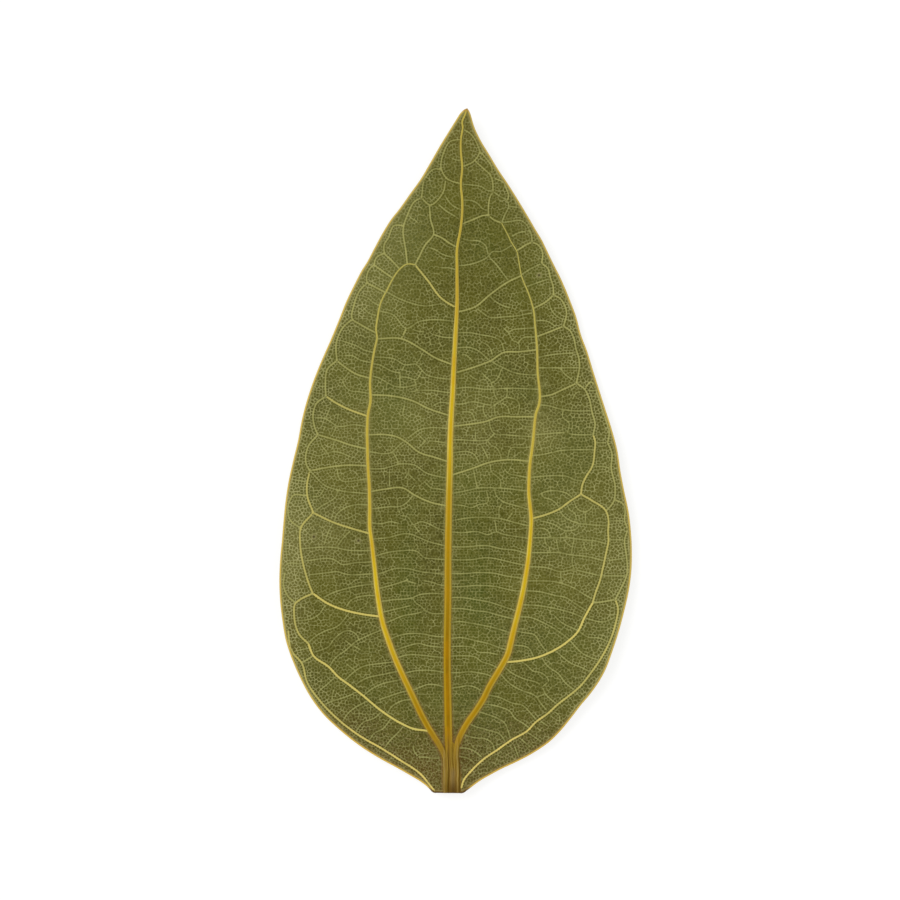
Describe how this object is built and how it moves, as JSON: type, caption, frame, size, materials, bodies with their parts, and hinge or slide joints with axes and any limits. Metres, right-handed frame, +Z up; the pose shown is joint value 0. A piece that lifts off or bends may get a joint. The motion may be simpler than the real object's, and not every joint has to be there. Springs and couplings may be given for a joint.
{
  "type": "dried cinnamon leaf",
  "caption": "Long oval dried leaf with three raised ribs, a raised net of smaller veins, a beaded margin and a cut stem stub, lying flat.",
  "frame": {"origin": "middle of the leaf's box, on the surface that the leaf rests on", "axes": "+Y from the cut stem towards the tip, +X to the right of the ribbed face, +Z up out of the ribbed face"},
  "size_m": [0.0618, 0.12, 0.0046],
  "materials": {
    "dried_leaf": "dry, matt olive blade with satin golden ribs"
  },
  "bodies": {
    "root": {"leaf": "dried_leaf"}
  },
  "joints": []
}
